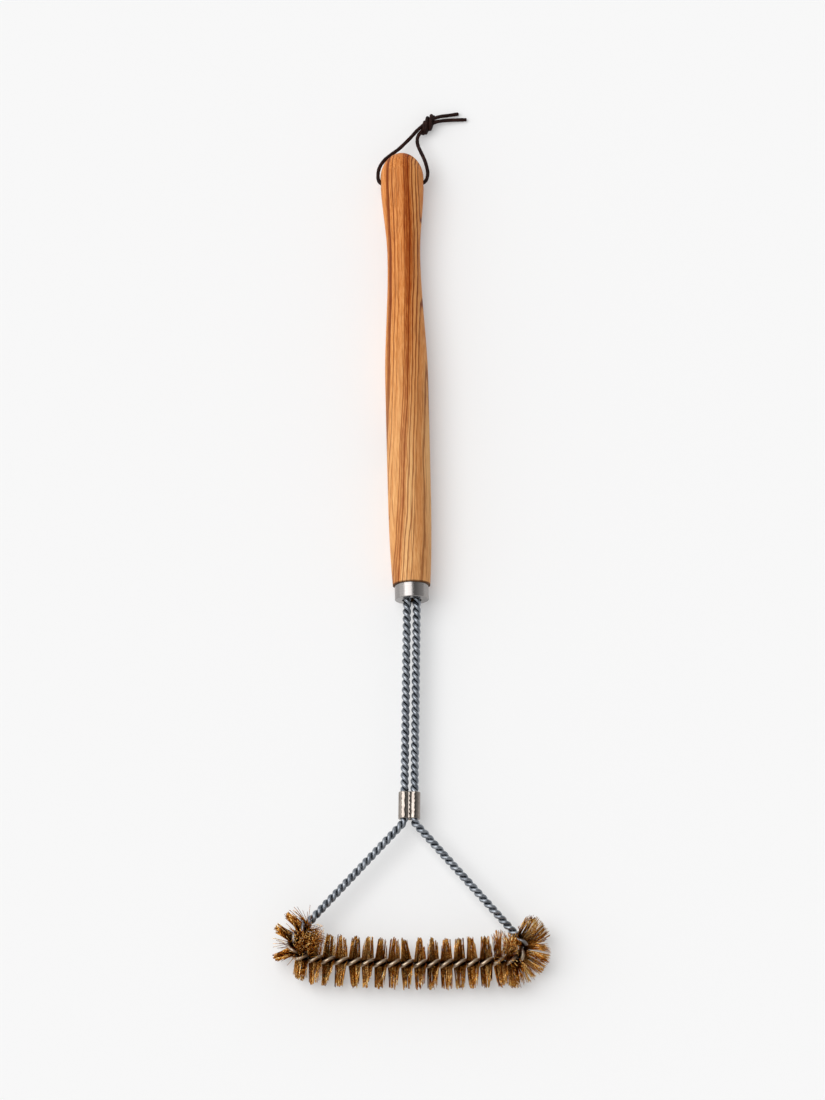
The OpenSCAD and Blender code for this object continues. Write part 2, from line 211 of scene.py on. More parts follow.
# %% Lace route
lace_d = 2.2
lace_points = [
    [35.2, 46.5, -11.7], [32, 45.9, -11.2], [28.2, 45.2, -10.5], [23.5, 44.4, -9.7], [19.1, 42.7, -9.2],
    [16.2, 40.7, -9], [13.3, 38.7, -8.7], [10, 35.6, -7.9], [6.8, 31.8, -6.9], [3, 27.6, -5.7],
    [-1.3, 23.3, -4.6], [-5.6, 19.8, -3.5], [-9.2, 16.8, -2.6], [-11.5, 14.1, -1.9], [-13.1, 11.4, -1.3],
    [-14, 8.8, -0.9], [-14.4, 6.2, -0.6], [-14.4, 4, -0.3], [-14, 2.1, -0.1], [-13.1, 0.7, 0], [-11.6, 0, 0],
    [-6, 0, 0], [0, 0, 0], [6, 0, 0],
    [11.6, 0, 0], [13.4, 0.7, 0], [14.7, 2.2, -0.1], [15.4, 4.4, -0.4], [15.6, 6.8, -0.7], [15.3, 9.6, -1],
    [14.5, 13.2, -1.6], [13.2, 17.2, -2.4], [11.6, 21, -3.2], [10.3, 24.6, -4.2], [9.8, 28, -5.3],
    [10.2, 31, -6.5], [11.8, 34, -7.8], [14.7, 36.7, -8.7], [17.6, 38.7, -9], [20.5, 40.7, -9.2],
    [25, 41.8, -9.8], [29.5, 42.3, -10.5], [34.6, 42.6, -11.2], [40, 42.8, -11.7]]
lace_middle = lace_points.index([0, 0, 0])
lace_step = 0.5


def from_bore(points):
    """Points measured from the middle of the lace's bore, in the brush's own frame, in millimetres."""
    return leaning(np.asarray(points, float) + [0, y_lace_bore, axis_h])


leg_paths = {-1: from_bore(smooth_path(lace_points[lace_middle::-1], lace_step)),
             1: from_bore(smooth_path(lace_points[lace_middle:], lace_step))}

# %% Lace legs
lace_around = 16


def lace_radius(path, phase):
    """Half the lace's thickness at length s of a path: a waver of 3% that repeats every 7 mm and one of 2.5%
    every 2.7 mm. The last half millimetre narrows to 72% at the cut."""
    s = lengths_along(path)
    waver = 1 + 0.03 * np.sin(s * 0.9 + phase) + 0.025 * np.sin(s * 2.3 + 2 * phase)
    return lace_d / 2 * waver * np.clip(0.72 + 0.6 * (s[-1] - s), 0, 1)


laces = []
for side, leg_path in leg_paths.items():
    leg_rings = rings_along(leg_path, lace_radius(leg_path, 1 + side), lace_around, [0, 0, 1])
    lace = tube_piece("lace_left" if side < 0 else "lace_right", leg_rings[None])
    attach(lace, "hanging_loop")
    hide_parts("lace")
    laces.append(lace)
print("lace:", len(laces), "legs,", sum(len(path) for path in leg_paths.values()), "rings")

# %% [markdown]
# ## Knot
# Both ends are tied together in one overhand knot, small and hard. Tying it in a simulation would be slow and
# hard to steer. Its look comes from strands that lie beside each other, cross over the legs on a slant and go
# under again, so it is drawn as three outer turns over two inner ones, all flattened, with their ends tucked
# in.

# %% Knot
knot_centre = np.array([16.9, 39.7, -8.7])
knot_heading = math.radians(35)
knot_slant = math.radians(78)
knot_axis = np.array([math.cos(knot_heading), math.sin(knot_heading), 0])
knot_across = np.array([math.cos(knot_slant), math.sin(knot_slant), 0])
wrap_turns = 1.5
wrap_rings = 60
# Each row: where the turn starts, in half circles, its shift along the legs, and its half width and half
# height in millimetres.
outer_wraps = [(0.9, -1.6, 5.1, 2.6), (0.9, 1.5, 4.6, 2.9), (0.8, -3.3, 3.2, 2.1)]
inner_wraps = [(0.4, -0.9, 3.1, 1.2), (1.4, 0.8, 2.6, 1.4)]


def wrap(start, shift, wide, high):
    """A flattened turn round the knot's legs: centre + creep along the legs + wide cos(a) across
    + high sin(a) up. The angle a grows by wrap_turns circles, and the creep by one thickness a circle. An
    eighth of the turn at each end is drawn in, by up to 35%, so that the ends tuck in."""
    t = np.linspace(0, wrap_turns, wrap_rings)[:, None]
    a = 2 * math.pi * t + math.pi * start
    drawn_in = 1 - 0.35 * np.clip(np.abs(2 * t / wrap_turns - 1) - 0.75, 0, 1) / 0.25
    creep = shift + (t - wrap_turns / 2) * lace_d
    oval = wide * np.cos(a) * knot_across + high * np.sin(a) * [0, 0, 1]
    return knot_centre + creep * knot_axis + drawn_in * oval


strands = np.array([from_bore(wrap(*row)) for row in outer_wraps + inner_wraps])
knot = tube_piece("lace_knot_wraps", rings_along(strands, lace_d / 2, lace_around, [0.3, 0.2, 1]))
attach(knot, "hanging_loop")
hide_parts("lace_knot")
knot_low = min(v.co.z for v in knot.data.vertices) / MM
print("knot:", len(knot.data.polygons), "faces, lowest", round(knot_low, 2), "mm")

# %% [markdown]
# ## Legs and knot
# The real lace bends wherever it is touched. Here the two legs and the knot stay plain meshes along the
# routes above, which only look like a lace, and all three hang on the body hanging_loop.

# %% [markdown]
# ## Wire route
# The pair of wires runs from the handle down one stem, out along an arm, round a corner, along the bar, and
# back the same way. A drawn curve would only come near the bends. Half of the route is a chain of straight
# runs and arcs, so its heading against length is a broken line. Summing small steps along the heading gives
# the places, and the other half is the mirror of this one.

# %% Runs and bends of the wires
wire_d = 2.5
twist_gap = 0.06
stem_gap_ferrule = 0.8
stem_gap_sleeve = 0.9
frame_w = 139
corner_r = 7.5
apex_r = 4.5
bow_r = 720
stem_depth = 38
quarter = math.pi / 2

stem_r = wire_d + twist_gap / 2
stem_x_ferrule = stem_r + stem_gap_ferrule / 2
stem_x_sleeve = stem_r + stem_gap_sleeve / 2
stem_lean = math.asin((stem_x_sleeve - stem_x_ferrule) / stem_len)
bow_turn = math.asin((frame_w / 2 - corner_r) / (bow_r - corner_r))
corner_y = y_bar + bow_r - (bow_r - corner_r) * math.cos(bow_turn)
corner_centre = np.array([frame_w / 2 - corner_r, corner_y])
apex_centre = np.array([stem_x_sleeve + apex_r, y_sleeve])
centres = apex_centre - corner_centre
between = np.linalg.norm(centres)
arm_heading = math.atan2(centres[1], centres[0]) + math.asin((apex_r + corner_r) / between)
arm_len = math.sqrt(between**2 - (apex_r + corner_r) ** 2)
print(f"arms: {arm_len:.1f} mm, at {math.degrees(arm_heading):.1f} degrees")

# %% Route along the heading
runs = [bow_r * bow_turn, corner_r * (arm_heading - bow_turn), arm_len, apex_r * (arm_heading - quarter),
        sleeve_len, stem_len / math.cos(stem_lean), stem_depth]
bar_end, corner_end, arm_end, apex_end, sleeve_end, stem_end, half_len = np.cumsum(runs)
stem_heading = quarter + stem_lean
# Where the heading jumps, two points stand this far apart.
kink = 1e-6
heading_s = [0, bar_end, corner_end, arm_end, apex_end,
             sleeve_end, sleeve_end + kink, stem_end, stem_end + kink, half_len]
heading_h = [0, bow_turn, arm_heading, arm_heading, quarter,
             quarter, stem_heading, stem_heading, quarter, quarter]

fine_points = 20001
fine_s = np.linspace(0, half_len, fine_points)
fine_step = np.diff(fine_s)
fine_h = np.interp((fine_s[1:] + fine_s[:-1]) / 2, heading_s, heading_h)
fine_x = np.concatenate([[0], np.cumsum(np.cos(fine_h) * fine_step)])
fine_y = y_bar + np.concatenate([[0], np.cumsum(np.sin(fine_h) * fine_step)])


def route_at(s):
    """Place and heading at a signed length from the bar's middle: the half route, mirrored left of it."""
    side = np.where(s < 0, -1, 1)
    x = side * np.interp(abs(s), fine_s, fine_x)
    y = np.interp(abs(s), fine_s, fine_y)
    place = np.stack([x, y, np.full(np.shape(s), axis_h)], -1)
    return place, side * np.interp(abs(s), heading_s, heading_h)


print(f"route: {2 * half_len:.0f} mm of twisted pair")

# %% [markdown]
# ## Twist
# The wires turn left-handed about the route, loosely along the bristles and tightly elsewhere. Length along
# the route could be the measure of all that follows, but the number of turns from the middle of the bar is
# handier, because every half turn of bristles is one tuft. The filaments lie between the wires, so they point
# square to the line from wire to wire.

# %% Twist
tufts_left, tufts_right = 11, 10
bristle_arm = 11
half_twist = (corner_end + bristle_arm) / (tufts_left + 0.5)
bristle_pitch = 2 * half_twist
twist_pitch = 8.8


def bristle_turns(turns):
    """Turns from the middle of the bar to the end of the bristles on the side that turns is on."""
    return (np.where(np.asarray(turns) < 0, tufts_left, tufts_right) + 0.5) / 2


def length_at(turns):
    """Length along the route at a number of turns: the long pitch up to the bristles' end, then the short."""
    inside = np.minimum(np.abs(turns), bristle_turns(turns))
    return np.sign(turns) * (inside * bristle_pitch + (np.abs(turns) - inside) * twist_pitch)


def turned(turns, heading):
    """Two directions square to the route: from wire b to wire a, and along the filaments. The phase falls
    by a full circle each turn, which makes the twist left-handed."""
    phase = quarter - 2 * math.pi * np.asarray(turns)
    normal = np.stack([-np.sin(heading), np.cos(heading), np.zeros_like(heading)], -1)
    c, s = np.cos(phase)[..., None], np.sin(phase)[..., None]
    return c * normal + s * [0, 0, 1], -s * normal + c * [0, 0, 1]


both_sides = np.array([-1, 1])
bristle_ends = length_at(both_sides * bristle_turns(both_sides))
print("bristles from", np.round(bristle_ends, 1), "mm along the route")

# %% [markdown]
# ## Wires
# Each wire is one long piece of drawn steel, laid round its partner. A Screw modifier makes a straight
# helix, but this one follows bends and changes its pitch, so each wire is a tube along its own helix round
# the route. The helix opens a little where filaments lie between the wires. The attribute towards_pair is 1
# where a wire faces its partner and -1 on the far side, so that the finish can paint shade into the groove.

# %% Wires
pinch_t = 0.5
pinch_gap = 0.12
spread_turns = 0.75
rings_per_turn = 22
wire_around = 14

pinch = pinch_t + 2 * pinch_gap
end_turns = [bristle_turns(side) + (half_len - bristle_turns(side) * bristle_pitch) / twist_pitch
             for side in both_sides]
wire_turns = np.linspace(-end_turns[0], end_turns[1], int(sum(end_turns) * rings_per_turn))
past_bristles = np.abs(wire_turns) - bristle_turns(wire_turns)
opening = np.clip((spread_turns - past_bristles) / spread_turns, 0, 1)
opening = (1 - np.cos(math.pi * opening)) / 2
helix_r = (wire_d + twist_gap + (pinch - twist_gap) * opening) / 2
wire_route, wire_heading = route_at(length_at(wire_turns))
b_to_a, _ = turned(wire_turns, wire_heading)

wires = []
for node, side in (("wire_a", 1), ("wire_b", -1)):
    wire_path = wire_route + side * helix_r[:, None] * b_to_a
    wire_rings = rings_along(wire_path, wire_d / 2, wire_around, side * b_to_a)
    wire = tube_piece("round_" + node, wire_rings[None])
    inwards = (wire_path[:, None] - wire_rings) @ (side * b_to_a)[..., None]
    give_attribute(wire, "towards_pair", inwards * 2 / wire_d)
    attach(wire, "brush")
    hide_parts(node)
    wires.append(wire)
print("wires:", len(wire_turns), "rings each,", sum(len(w.data.polygons) for w in wires), "faces")

# %% [markdown]
# ## Filaments
# Each brass filament is a straight piece of thin wire that the pair pinches at its middle, so it shows at
# both edges of the pinched ribbon. The twist fans the ribbon into a screw, and use gathers each half turn of
# it into a tuft. A particle system would place hair at random, but here every filament has its place in the
# twist. It leaves the pinch in the ribbon's own direction and bends towards its tuft. Neighbours stick
# together in clumps. Inside a corner a filament is short, because the other side is near.

# %% How loose the filaments are
filament_d = 0.3
filament_around = 3
bend_steps = np.linspace(0, 1, 5)[1:]
clump_size = 8
# How far a filament may lie off the middle of the pinch, in millimetres.
pinch_slip = 0.2
# One filament in twenty strays, three times as loose as the others.
stray_share, stray_times = 0.05, 3.0
# Jitter of a tip round the wires in half turns, and along them in bristle radii.
tuft_sway, clump_sway, own_sway = 0.05, 0.06, 0.03
tuft_lean, clump_lean, own_lean = 0.03, 0.028, 0.012
# Shares of the reach that a clump and a filament may lack.
clump_wear, own_wear = 0.1, 0.05
# Shares of the way by which a tip moves back to its tuft's middle, and of the reach that the root directs.
draw_back, root_hold = 0.34, 0.42
# How unevenly filaments fill a corner, and how much of the tone a clump shares.
corner_fill = (0.9, 1.3)
clump_tone = 0.6
# A filament that points inwards less than this counts as this much, so that its room stays finite.
least_inward = 0.05
floor_gap = 0.02
least_height = filament_d / 2 + floor_gap
corner_half = (math.pi - arm_heading + bow_turn) / 2
rng = np.random.default_rng(11)


def inner_room(s):
    """Room on the inside of a corner: the bend's radius, plus the distance from the bend times the tangent of
    half the corner's angle."""
    beyond = np.maximum(0, np.maximum(bar_end - np.abs(s), np.abs(s) - corner_end))
    return corner_r + math.tan(corner_half) * beyond


print("room inside the corners:", round(float(inner_room(bar_end)), 1), "mm or more")

# %% Paths of one tuft


def tuft_paths(k, count, outer, inner):
    """Lines of the filaments of half turn k, from tip to tip. A filament at share u of the half turn points
    at phase u at its root, and at gather * u plus a jitter at its tip. Each side is the bend
    root + 2t(1 - t) root arrow + t^2 tip arrow, with t from 0 to 1. Outer and inner are the habits of the
    side away from the triangle and of the side towards it."""
    u = (np.arange(count) + rng.random(count)) / count - 0.5
    clump = np.arange(count) // clump_size
    clumps = clump[-1] + 1
    root_turns = (k + u) / 2
    root_s = length_at(root_turns)
    root, heading = route_at(root_s)
    _, mid_heading = route_at(length_at(np.array(k / 2)))
    across, root_way = turned(root_turns, heading)
    root = root + rng.uniform(-pinch_slip, pinch_slip, (count, 1)) * across
    t = bend_steps[:, None, None]
    sides = []
    for edge in (1, -1):
        habit = inner if edge * (-1) ** k < 0 else outer
        stray = np.where(rng.random(count) < stray_share, stray_times, 1.0)
        tip_heading = heading + habit["squeeze"] * (mid_heading - heading)
        along = np.stack([np.cos(tip_heading), np.sin(tip_heading), np.zeros(count)], -1)
        sway = habit["gather"] * u + rng.normal(0, tuft_sway)
        jitter = rng.normal(0, clump_sway, clumps)[clump] + stray * rng.normal(0, own_sway, count)
        tip_way = turned((k + sway + habit["ragged"] * jitter) / 2, tip_heading)[1] * edge
        inward = (tip_way * np.cross([0, 0, 1], along)).sum(-1)
        room = habit["room"] * inner_room(root_s) * rng.uniform(*corner_fill, count)
        room = room / np.maximum(inward, least_inward)
        reach = habit["reach"] + habit["extra"] * np.maximum(inward, 0)
        worn = 1 - clump_wear * rng.random(clumps)[clump] - own_wear * rng.random(count)
        reach = np.minimum(reach * worn, room)[:, None]
        lean = habit["lean"] + rng.normal(0, tuft_lean) + habit["mess"] * rng.normal(0, 1, count)
        lean = lean + clump_lean * rng.normal(0, 1, clumps)[clump]
        lean = lean + own_lean * stray * rng.normal(0, 1, count)
        drift = (bristle_r * lean - draw_back * u * half_twist)[:, None]
        lift = habit["rise"] * rng.random((count, 1)) * [0, 0, 1]
        tip_arrow = reach * tip_way + drift * along + lift
        root_arrow = root_hold * reach * root_way * edge
        sides.append(root + 2 * t * (1 - t) * root_arrow + t**2 * tip_arrow)
    paths = np.concatenate([sides[1][::-1], root[None], sides[0]]).swapaxes(0, 1)
    paths[..., 2] = np.maximum(paths[..., 2], least_height)
    tone = clump_tone * rng.random(clumps)[clump] + (1 - clump_tone) * rng.random(count)
    return paths, across, tone


print("tuft helper ready")

# %% Habits of the tufts
# gather: share of the half turn that the tips keep. ragged: how many times the usual jitter the tips have.
# mess and lean: random and common lean along the wires, in bristle radii. reach: length from pinch to tip.
# extra: added reach towards the triangle. squeeze: how far the tips take their tuft's middle heading.
# rise: most height added at a tip. room: share of the room in a corner that a filament takes.
usual = dict(gather=0.45, ragged=1.0, mess=0.0, lean=0.0, reach=16.1, extra=0.0, squeeze=0.0, rise=0.0,
             room=1.0)
parted = dict(usual, squeeze=0.65, reach=14)
fanned = dict(usual, gather=0.55, ragged=1.3, mess=0.05, reach=17.2)
tucked = dict(usual, gather=0.8, ragged=1.8, mess=0.1, rise=1.0, room=1.3)
crowded = dict(usual, gather=1.0, ragged=2.5, mess=0.18, rise=4.0, room=1.6)
tangled = dict(crowded, room=2.1, rise=5.0)
swept_in = dict(crowded, rise=2.0, mess=0.1, extra=3.5)
# Half turn: number of filaments, habit of the outer side, habit of the inner side.
corner_tufts = {
    -11: (180, parted, tangled),
    -10: (180, parted, tangled),
    -9: (150, dict(parted, reach=12.6), crowded),
    -8: (150, parted, dict(crowded, extra=2.5)),
    -7: (130, usual, swept_in),
    7: (120, usual, swept_in),
    8: (190, fanned, dict(crowded, extra=3.0)),
    9: (215, fanned, tucked),
    10: (190, dict(fanned, lean=0.2), tucked)}
bar_tuft = (112, usual, usual)
print("habits for", len(corner_tufts), "corner tufts, one habit for the rest")

# %% [markdown]
# ## Tufts
# A tuft is the bunch that one half turn of filaments makes. One mesh for all bristles would be as quick, but
# a mesh for each tuft can stand for its own solid. Two attributes go with the points: tone, which differs
# from filament to filament and is shared in part by a clump, and from_root, 0 at the pinch and 1 at the tips.

# %% Tufts
tufts = []
filament_count = 0
for k in range(-tufts_left, tufts_right + 1):
    paths, across, tone = tuft_paths(k, *corner_tufts.get(k, bar_tuft))
    rings = rings_along(paths, filament_d / 2, filament_around, across[:, None, :])
    node = f"bristle_tuft_{k + tufts_left + 1:02d}"
    tuft = tube_piece("brass_" + node, rings)
    from_root = np.abs(np.linspace(-1, 1, rings.shape[1]))
    give_attribute(tuft, "tone", np.broadcast_to(tone[:, None, None], rings.shape[:3]))
    give_attribute(tuft, "from_root", np.broadcast_to(from_root[:, None], rings.shape[:3]))
    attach(tuft, "brush")
    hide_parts(node)
    tufts.append(tuft)
    filament_count += len(paths)
print("bristles:", filament_count, "filaments in", len(tufts), "tufts")

# %% [markdown]
# ## Sleeve
# A double sleeve of nickel plated steel is pressed round both stems: two barrels, and a flat web between
# them. Two cylinders and a box joined by booleans would have sharp creases. Instead the outline is sampled
# all round, softened where barrel meets web, and carried along from inside one end to inside the other.
# The press leaves shallow waves along it, and the cut ends are rounded. The attribute crease marks the lines
# where barrel meets web, where the finish paints shade.

# %% Sleeve outline
sleeve_wall = 1
sleeve_waist = 5.8
press_gap = 0.06
barrel_r = stem_r + press_gap + sleeve_wall
web_angle = math.pi - math.asin(sleeve_waist / 2 / barrel_r)
web_x = stem_x_sleeve + barrel_r * math.cos(web_angle)


def sleeve_outline(grow):
    """Outline of both barrels and the web, counterclockwise, moved outwards by grow: two arcs that end where
    they meet the web's flat sides. Each point is averaged with its neighbours three times."""
    a = np.linspace(-web_angle, web_angle, 72)
    barrel = (barrel_r + grow) * np.stack([np.cos(a), np.sin(a)], -1) + [stem_x_sleeve, 0]
    web = np.linspace(0, 1, 12)[1:-1, None]
    flat = barrel[-1] + web * (barrel[-1] * [-2, 0])
    outline = np.concatenate([barrel, flat, -barrel, -flat])
    for _ in range(3):
        outline = (np.roll(outline, 1, 0) + 2 * outline + np.roll(outline, -1, 0)) / 4
    return outline


print("sleeve outline:", len(sleeve_outline(0)), "points")

# %% Sleeve
# Stations along the sleeve: distance from its end, and how far the outline is moved outwards there.
rounding = np.array([[1.2, -sleeve_wall], [0, -sleeve_wall], [0.02, -0.22], [0.1, -0.09], [0.28, 0]])
rounded_len, plain_rings = 0.6, 30
plain = np.stack([np.linspace(rounded_len, sleeve_len - rounded_len, plain_rings), np.zeros(plain_rings)], -1)
stations = np.concatenate([rounding, plain, [sleeve_len, 0] + rounding[::-1] * [-1, 1]])
crease_depth, crease_width, crease_shade_width = 0.05, 0.25, 0.28

outlines = np.array([sleeve_outline(grow) for grow in stations[:, 1]])
y = stations[:, :1]
x, z = outlines[..., 0], outlines[..., 1]
bearing = np.arctan2(z, np.abs(x) - stem_x_sleeve)
# Waves of 1.4% and 1.1% of the height, 5.7 mm and 2.7 mm long, wind round the barrels.
press = 1 + 0.014 * np.sin(1.1 * y + 2.5 * bearing) + 0.011 * np.sin(2.3 * y - 4 * bearing + np.sign(x))
press = press - crease_depth * np.exp(-((np.abs(x) - web_x) / crease_width) ** 2)
sleeve_rings = np.stack([x, y_sleeve + y + 0 * x, axis_h + z * press], -1)
sleeve = tube_piece("pressed_sleeve", sleeve_rings[None])
# The attribute crease is the mask where the nickel gets painted shade beside the web.
give_attribute(sleeve, "crease", np.exp(-((np.abs(x) - web_x) / crease_shade_width) ** 2))
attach(sleeve, "brush")
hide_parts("sleeve")
print("sleeve:", len(sleeve.data.polygons), "faces")

# %% [markdown]
# ## Finishes
# Nodes could be placed by hand in the shader editor, but in code the same few lines build every finish.
# Colours are written as sRGB hex values and turned to linear light by one function. One function adds a node
# with its settings and links. Every pattern reads the piece's own coordinates through a Mapping node that
# turns metres into millimetres, so a scale of 1 / 4 means one feature for every 4 mm.

# %% Finish helpers


def linear(colour):
    """sRGB hex to linear light: ((c + 0.055) / 1.055)^2.4 for each channel, or c / 12.92 near black."""
    c = np.array([int(colour[i:i + 2], 16) for i in (1, 3, 5)]) / 255
    return (*np.where(c > 0.04045, ((c + 0.055) / 1.055) ** 2.4, c / 12.92), 1.0)


def feed(node, inputs):
    """Gives sockets what they take: another node's socket is linked, and anything else is set as a value."""
    for key, value in inputs.items():
        if isinstance(value, bpy.types.NodeSocket):
            node.id_data.links.new(value, node.inputs[key])
        else:
            node.inputs[key].default_value = value


def add(tree, kind, inputs=None, stops=(), **settings):
    """Adds a node and returns its outputs. Settings are its properties, inputs are values or links for its
    sockets, and stops are a ramp's places and hex colours, the lowest and the highest first."""
    node = tree.nodes.new("ShaderNode" + kind)
    for key, value in settings.items():
        setattr(node, key, value)
    feed(node, inputs or {})
    for i, (at, colour) in enumerate(stops):
        stop = node.color_ramp.elements[i] if i < 2 else node.color_ramp.elements.new(at)
        stop.position = at
        stop.color = linear(colour)
    return node.outputs


def new_finish(name, on_handle=False):
    """A new material with its node tree, its shader, and a place in millimetres: from the brush's origin, or
    on the handle from the middle of the ferrule's mouth, turned with the handle's lean."""
    finish = bpy.data.materials.new(name)
    finish.use_nodes = True
    tree = finish.node_tree
    start = mouth * MM if on_handle else (0, 0, 0)
    lean = (0, 0, handle_lean) if on_handle else (0, 0, 0)
    place = add(tree, "TexCoord")["Object"]
    in_mm = add(tree, "Mapping", {"Vector": place, "Location": start, "Rotation": lean,
                                  "Scale": (MM, MM, MM)}, vector_type="TEXTURE")[0]
    return finish, tree, tree.nodes["Principled BSDF"], in_mm


print("finish helpers ready")

# %% [markdown]
# ## Olive wood
# The handle is turned from one piece of olive-like wood, sanded and oiled. Its growth layers run nearly along
# the handle, and turning cuts them open as long streaks, dark red-brown on golden wood, with a satin gloss
# from the oil. A picture wrapped round the handle would stretch at the tail, so the pattern is solid, as in
# real wood: one number grows across the layers, and noise along that number alone makes bands and lines.
# On the left of the handle the layers slant more than on the right, so they fan out, and they are bent by a
# slow waver and a fine ripple. Real pores are about 0.1 mm wide, too fine to show from here, so fibres are
# drawn 0.6 mm wide and pores as strokes of 0.9 mm.

# %% Wood layers
wood, tree, shader, in_mm = new_finish("olive_wood_oiled", on_handle=True)
xyz = add(tree, "SeparateXYZ", {0: in_mm})
# Size of each noise across, along and up the handle in millimetres, its detail and its roughness.
wood_noises = {"waver": ((24, 120, 24), 2.0, 0.5), "ripple": ((4, 22, 4), 3.0, 0.5),
               "fibres": ((0.6, 9, 0.6), 3.0, 0.65), "strokes": ((0.9, 34, 0.9), 2.0, 0.5)}
noise = {}
for name, (size, detail, roughness) in wood_noises.items():
    spaced = add(tree, "VectorMath", {0: in_mm, 1: [1 / mm for mm in size]}, operation="MULTIPLY")
    noise[name] = add(tree, "TexNoise", {"Vector": spaced[0], "Scale": 1.0, "Detail": detail,
                                         "Roughness": roughness})["Fac"]

# Millimetres across the layers. The slant grows up to about 150 mm from the ferrule's mouth and then stays.
slant = add(tree, "Math", {0: xyz["Y"], 1: 150.0, 2: 70.0}, operation="SMOOTH_MIN")
fanning = add(tree, "MapRange", {"Value": xyz["X"], "From Min": -12.0, "From Max": 12.0,
                                 "To Min": -0.18, "To Max": -0.05})
layers = add(tree, "VectorMath", {0: in_mm, 1: (1.0, 0.0, 0.35)}, operation="DOT_PRODUCT")["Value"]
for bend, amount in ((slant[0], fanning[0]), (noise["waver"], 9.0), (noise["ripple"], 2.0)):
    layers = add(tree, "Math", {0: bend, 1: amount, 2: layers}, operation="MULTIPLY_ADD")[0]
bands = add(tree, "TexNoise", {"W": layers, "Scale": 1 / 10, "Detail": 2.0}, noise_dimensions="1D")["Fac"]
levels = add(tree, "TexNoise", {"W": layers, "Scale": 1 / 18, "Detail": 3.0, "Roughness": 0.6},
             noise_dimensions="1D")["Fac"]
print("wood layers:", len(tree.nodes), "nodes")

# %% [markdown]
# ## Marks in the wood
# A dark line is the late wood of one layer. It is drawn where a slow noise passes one of a row of levels, so
# lines come in pairs and bundles. From the ferrule to the belly they are fainter and the wood is paler. A
# darker streak of heartwood runs down one side, thin strokes are pores, the tail is redder, and a dark line
# of painted shade lies against the ferrule. Painting the marks by hand would look freer, but masks keep them
# in the solid wood: each mark is a mask from 0 to 1 with its own colour.

# %% Marks in the wood
front = add(tree, "MapRange", {"Value": xyz["Y"], "From Min": 170.0, "From Max": 100.0})
pale = add(tree, "Math", {0: front[0], 1: 0.22}, operation="MULTIPLY")
faint = add(tree, "Math", {0: front[0], 1: -0.25, 2: 1.0}, operation="MULTIPLY_ADD")
from_level = add(tree, "Math", {0: levels, 1: 0.06}, operation="PINGPONG")
line = add(tree, "MapRange", {"Value": from_level[0], "From Max": 0.022, "To Min": 0.92, "To Max": 0.0},
           interpolation_type="SMOOTHSTEP")
line = add(tree, "Math", {0: line[0], 1: faint[0]}, operation="MULTIPLY")
heart = add(tree, "VectorMath", {0: in_mm, 1: (1.0, 0.024, 0.15)}, operation="DOT_PRODUCT")
heart = add(tree, "Math", {0: noise["ripple"], 1: 3.0, 2: heart["Value"]}, operation="MULTIPLY_ADD")
heart = add(tree, "Math", {0: heart[0], 1: 11.2}, operation="SUBTRACT")
heart = add(tree, "Math", {0: heart[0]}, operation="ABSOLUTE")
heart = add(tree, "MapRange", {"Value": heart[0], "From Min": 0.8, "From Max": 5.5,
                               "To Min": 0.45, "To Max": 0.0}, interpolation_type="SMOOTHSTEP")
pores = add(tree, "MapRange", {"Value": noise["strokes"], "From Min": 0.5, "From Max": 0.72, "To Max": 0.5},
            interpolation_type="SMOOTHSTEP")
tail = add(tree, "MapRange", {"Value": xyz["Y"], "From Min": 90.0, "From Max": 210.0})
# Painted shade: a dark band on the wood just behind the ferrule's edge.
joint_shade = add(tree, "MapRange", {"Value": xyz["Y"], "From Min": ferrule_len + 1.1,
                               "From Max": ferrule_len + 0.4, "To Max": 0.8})
wood_marks = [(pale[0], "#d9a878", "MIX"), (heart[0], "#ddb791", "MULTIPLY"), (line[0], "#6c2801", "MIX"),
              (pores[0], "#7d3a10", "MIX"), (tail[0], "#f6dfcc", "MULTIPLY"), (joint_shade[0], "#2a1206", "MIX")]
print("wood:", len(wood_marks), "kinds of mark")

# %% Wood surface
grainy = add(tree, "MapRange", {"Value": noise["fibres"], "From Min": 0.2, "From Max": 0.8, "To Max": 0.45})
shade = add(tree, "Math", {0: grainy[0], 1: bands}, operation="ADD")
grain = add(tree, "ValToRGB", {0: shade[0]}, stops=[
    (0.48, "#ad5d24"), (0.95, "#efba7a"), (0.62, "#ca8341"), (0.76, "#dfa061")])["Color"]
for mask, colour, blend in wood_marks:
    grain = add(tree, "MixRGB", {"Fac": mask, "Color1": grain, "Color2": linear(colour)}, blend_type=blend)[0]
rough = add(tree, "MapRange", {"Value": noise["fibres"], "To Min": 0.45, "To Max": 0.65})
relief = add(tree, "Bump", {"Height": noise["fibres"], "Strength": 0.2, "Distance": 0.2 * MM})
feed(shader, {"Base Color": grain, "Roughness": rough[0], "Normal": relief[0], "IOR": 1.5,
              "Specular IOR Level": 0.1})
print("olive wood:", len(tree.nodes), "nodes")

# %% [markdown]
# ## Stainless steel
# The ferrule is stainless steel, turned on a lathe. The tool leaves fine lines round it, which spread the
# light into a satin band. An anisotropic shader would do that without lines, but close up the lines show, so
# they are noise along one number, the distance along the axis plus the distance from it, which follows the
# side and the end face alike. Real lines are finer than 0.1 mm, so these are drawn 0.25 mm apart.

